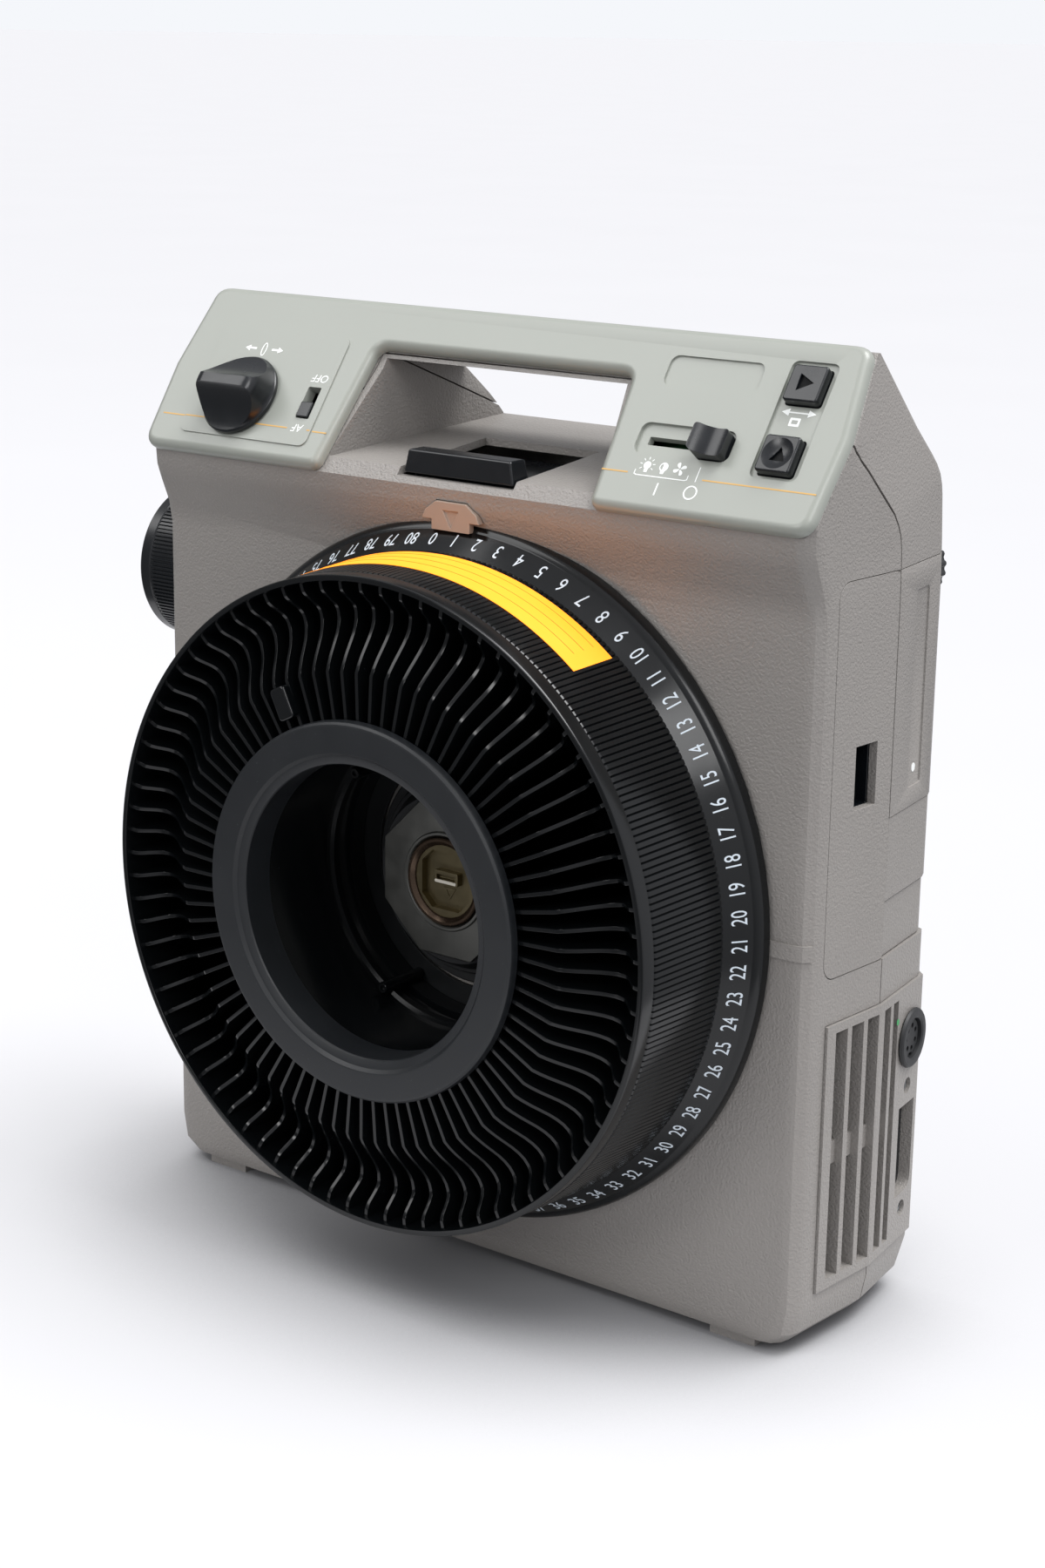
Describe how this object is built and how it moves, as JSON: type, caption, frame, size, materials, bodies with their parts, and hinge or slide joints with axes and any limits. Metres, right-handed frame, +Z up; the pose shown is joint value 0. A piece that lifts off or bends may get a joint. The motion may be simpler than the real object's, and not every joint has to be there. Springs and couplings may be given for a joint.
{
  "type": "slide projector",
  "caption": "Slide projector standing on its narrow side, with a round slide tray on its deck, a carrying handle, a sloping control panel and a sliding lamp module.",
  "frame": {"origin": "middle of the bounding box on the surface that the projector stands on", "axes": "+Z up, handle on top; -Y out of the slide tray; -X the way the lens looks"},
  "size_m": [0.3116, 0.1494, 0.3319],
  "materials": {
    "housing_abs": "textured warm grey",
    "panel_abs": "smooth light grey",
    "pointer_abs": "tan grey",
    "black_abs": "satin black",
    "tray_polystyrene": "satin black",
    "dark_plastic": "matte dark grey",
    "steel": "satin",
    "zinc_plate": "zinc plated sheet",
    "optical_glass": "polished",
    "rubber": "matte black",
    "board": "green lacquer",
    "copper": "enamelled wire and steel core",
    "nylon": "natural white"
  },
  "bodies": {
    "projector": {"top_housing": "housing_abs", "base_housing": "housing_abs", "control_panel": "panel_abs", "tray_pointer": "pointer_abs", "control_board": "board", "tray_hub": "dark_plastic", "hub_plate": "steel", "lens_sleeve": "dark_plastic", "mechanism_plate": "zinc_plate", "slide_gate": "dark_plastic", "lift_guide_rod": "steel", "condenser_frame": "zinc_plate", "condenser_lens": "optical_glass", "heat_filter_glass": "optical_glass", "side_grille": "housing_abs", "remote_socket": "dark_plastic", "remote_socket_pins": "black_abs", "accessory_outlet": "black_abs", "grille_screw_1": "steel", "grille_screw_2": "steel", "fan_shroud": "dark_plastic", "drive_motor": "steel", "motor_bracket": "zinc_plate", "cycle_gear_post": "steel", "transformer": "copper", "main_circuit_board": "board", "base_foot_1": "rubber", "base_foot_2": "rubber", "base_foot_3": "rubber", "elevation_guide": "dark_plastic", "cord_gland": "rubber"},
    "tray_base": {"tray_base_plate": "zinc_plate"},
    "tray": {"tray_body": "tray_polystyrene"},
    "lock_ring": {"tray_lock_ring": "tray_polystyrene"},
    "release": {"release_screw": "steel"},
    "focus": {"focus_knob": "black_abs", "focus_shaft": "steel"},
    "lens": {"lens_barrel": "black_abs", "lens_front_glass": "optical_glass", "lens_rear_glass": "optical_glass"},
    "af_switch": {"af_switch_lever": "black_abs"},
    "power_switch": {"power_slider": "black_abs"},
    "forward": {"forward_button": "black_abs"},
    "reverse": {"reverse_button": "black_abs"},
    "select": {"select_bar": "black_abs"},
    "lamp_module": {"lamp_module_door": "housing_abs", "door_finger_pocket": "black_abs", "lamp_module_cover": "housing_abs", "lamp_module_label_cover": "housing_abs", "lamp_module_lower_cover": "housing_abs", "lamp_chassis": "zinc_plate", "reflector_lamp": "optical_glass", "lamp_socket": "nylon"},
    "leveller": {"levelling_wheel": "black_abs"},
    "elevator": {"elevation_foot": "dark_plastic"},
    "elevator_release": {"elevation_release": "black_abs"},
    "fan": {"fan_rotor": "dark_plastic", "motor_shaft": "steel"},
    "cycle": {"cycle_gear": "nylon"},
    "lift": {"slide_lift_lever": "steel"}
  },
  "joints": [
    {"name": "tray_lift_off", "type": "slide", "parent": "projector", "child": "tray_base", "axis": [0, -1, 0], "range_m": [0, 0.07]},
    {"name": "tray_turn", "type": "hinge", "parent": "tray_base", "child": "tray", "pos_m": [0.01424, -0.0133, 0.143], "axis": [0, -1, 0], "continuous": true},
    {"name": "lock_ring_turn", "type": "hinge", "parent": "tray", "child": "lock_ring", "pos_m": [0.01424, -0.0133, 0.143], "axis": [0, -1, 0], "range_deg": [0, 25]},
    {"name": "release_screw_turn", "type": "hinge", "parent": "projector", "child": "release", "pos_m": [0.01424, -0.0133, 0.143], "axis": [0, -1, 0], "range_deg": [0, 180]},
    {"name": "focus_knob_turn", "type": "hinge", "parent": "projector", "child": "focus", "pos_m": [-0.09036, -0.00867, 0.29516], "axis": [0, -0.8059, 0.592], "range_deg": [-220, 220]},
    {"name": "lens_focus", "type": "slide", "parent": "projector", "child": "lens", "axis": [1, 0, 0], "range_m": [-0.0149, 0.0149]},
    {"name": "af_switch_slide", "type": "slide", "parent": "projector", "child": "af_switch", "axis": [0, 0.592, 0.8059], "range_m": [0, 0.0057]},
    {"name": "power_switch_slide", "type": "slide", "parent": "projector", "child": "power_switch", "axis": [-1, 0, 0], "range_m": [0, 0.0195]},
    {"name": "forward_button_press", "type": "slide", "parent": "projector", "child": "forward", "axis": [0, 0.8059, -0.592], "range_m": [0, 0.0022], "stiffness_N_per_m": 400},
    {"name": "reverse_button_press", "type": "slide", "parent": "projector", "child": "reverse", "axis": [0, 0.8059, -0.592], "range_m": [0, 0.0022], "stiffness_N_per_m": 400},
    {"name": "select_bar_press", "type": "slide", "parent": "projector", "child": "select", "axis": [0, 1, 0], "range_m": [0, 0.01], "stiffness_N_per_m": 300},
    {"name": "lamp_module_slide", "type": "slide", "parent": "projector", "child": "lamp_module", "axis": [1, 0, 0], "range_m": [0, 0.11]},
    {"name": "levelling_wheel_turn", "type": "hinge", "parent": "projector", "child": "leveller", "pos_m": [0.13574, 0.0637, 0.255], "axis": [0, 1, 0], "range_deg": [-360, 360]},
    {"name": "elevation_foot_slide", "type": "slide", "parent": "projector", "child": "elevator", "axis": [0, 1, 0], "range_m": [0, 0.025]},
    {"name": "elevation_release_press", "type": "slide", "parent": "projector", "child": "elevator_release", "axis": [1, 0, 0], "range_m": [0, 0.003], "stiffness_N_per_m": 400},
    {"name": "fan_turn", "type": "hinge", "parent": "projector", "child": "fan", "pos_m": [0.1, 0.0304, 0.068], "axis": [1, 0, 0], "continuous": true},
    {"name": "cycle_gear_turn", "type": "hinge", "parent": "projector", "child": "cycle", "pos_m": [0.05224, 0.0304, 0.0928], "axis": [0, 1, 0], "continuous": true},
    {"name": "slide_lift", "type": "slide", "parent": "projector", "child": "lift", "axis": [0, -1, 0], "range_m": [0, 0.05]}
  ],
  "couplings": [
    {"joint": "focus_knob_turn", "follows": "lens_focus", "rad_per_m": 256.41},
    {"joint": "cycle_gear_turn", "follows": "fan_turn", "ratio": 0.041667}
  ]
}
